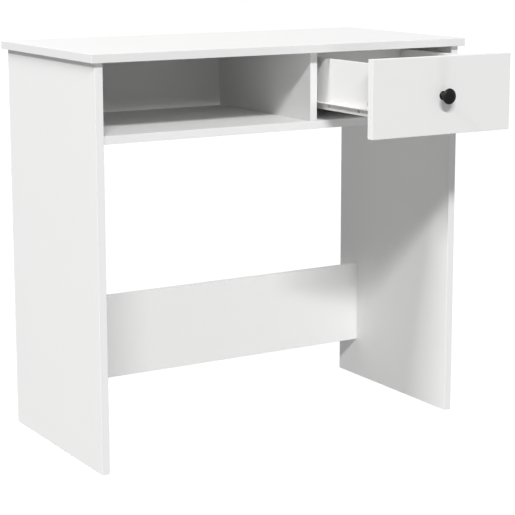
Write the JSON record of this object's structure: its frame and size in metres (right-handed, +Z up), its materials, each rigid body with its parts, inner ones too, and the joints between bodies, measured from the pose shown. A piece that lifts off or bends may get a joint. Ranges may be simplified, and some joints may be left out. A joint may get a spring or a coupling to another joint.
{
  "type": "writing desk",
  "caption": "White board writing desk on side panels, with a drawer on roller slides at the right, an open compartment beside it and a stretcher behind the knees.",
  "frame": {"origin": "on the floor, under the middle of the box that the desk fills with its drawer open as stored", "axes": "+X along the desk's width, to the right as seen from the front; -Y towards the person at the desk; +Z up"},
  "size_m": [0.8, 0.5924, 0.75],
  "materials": {
    "white_board": "matt white melamine face on particle board, with white edge banding",
    "drawer_board": "matt white foil on thin particle board",
    "drawer_base": "white faced hardboard",
    "knob_black": "satin black powder coat on die-cast metal",
    "rail_white": "off-white epoxy powder coat on folded steel",
    "roller_nylon": "moulded nylon",
    "rivet_steel": "zinc plated steel rivet",
    "cam_zinc": "die-cast zinc alloy",
    "screw_steel": "zinc plated steel",
    "dowel_beech": "plain beech"
  },
  "bodies": {
    "desk_frame": {"tabletop": "white_board", "left_side_panel": "white_board", "right_side_panel": "white_board", "shelf_board": "white_board", "divider_panel": "white_board", "back_panel": "white_board", "stretcher_panel": "white_board", "left_cabinet_rail": "rail_white", "right_cabinet_rail": "rail_white", "front_roller_axles": "rivet_steel", "cam_locks": "cam_zinc", "cam_bolts": "screw_steel", "wooden_dowels": "dowel_beech", "divider_screws": "screw_steel", "cabinet_rail_screws": "screw_steel"},
    "drawer": {"drawer_front": "white_board", "drawer_left_side": "drawer_board", "drawer_right_side": "drawer_board", "drawer_back": "drawer_board", "drawer_bottom": "drawer_base", "drawer_knob": "knob_black", "knob_screw": "screw_steel", "left_drawer_rail": "rail_white", "right_drawer_rail": "rail_white", "rear_roller_axles": "rivet_steel", "drawer_cam_locks": "cam_zinc", "drawer_cam_bolts": "screw_steel", "drawer_dowels": "dowel_beech", "drawer_box_screws": "screw_steel", "drawer_rail_screws": "screw_steel"},
    "left_front_roller": {"left_front_roller": "roller_nylon"},
    "right_front_roller": {"right_front_roller": "roller_nylon"},
    "left_rear_roller": {"left_rear_roller": "roller_nylon"},
    "right_rear_roller": {"right_rear_roller": "roller_nylon"}
  },
  "joints": [
    {"name": "drawer_slide", "type": "slide", "parent": "desk_frame", "child": "drawer", "axis": [0, -1, 0], "range_m": [-0.179, 0.054]},
    {"name": "left_front_roller_spin", "type": "hinge", "parent": "desk_frame", "child": "left_front_roller", "pos_m": [0.0794, -0.05175, 0.6305], "axis": [1, 0, 0], "range_deg": [-1150, 350]},
    {"name": "right_front_roller_spin", "type": "hinge", "parent": "desk_frame", "child": "right_front_roller", "pos_m": [0.3686, -0.05175, 0.6305], "axis": [1, 0, 0], "range_deg": [-1150, 350]},
    {"name": "left_rear_roller_spin", "type": "hinge", "parent": "drawer", "child": "left_rear_roller", "pos_m": [0.0794, 0.03325, 0.6235], "axis": [1, 0, 0], "range_deg": [-1150, 350]},
    {"name": "right_rear_roller_spin", "type": "hinge", "parent": "drawer", "child": "right_rear_roller", "pos_m": [0.3686, 0.03325, 0.6235], "axis": [1, 0, 0], "range_deg": [-1150, 350]}
  ],
  "couplings": [
    {"joint": "left_front_roller_spin", "follows": "drawer_slide", "rad_per_m": 111.11},
    {"joint": "right_front_roller_spin", "follows": "drawer_slide", "rad_per_m": 111.11},
    {"joint": "left_rear_roller_spin", "follows": "drawer_slide", "rad_per_m": 111.11},
    {"joint": "right_rear_roller_spin", "follows": "drawer_slide", "rad_per_m": 111.11}
  ]
}
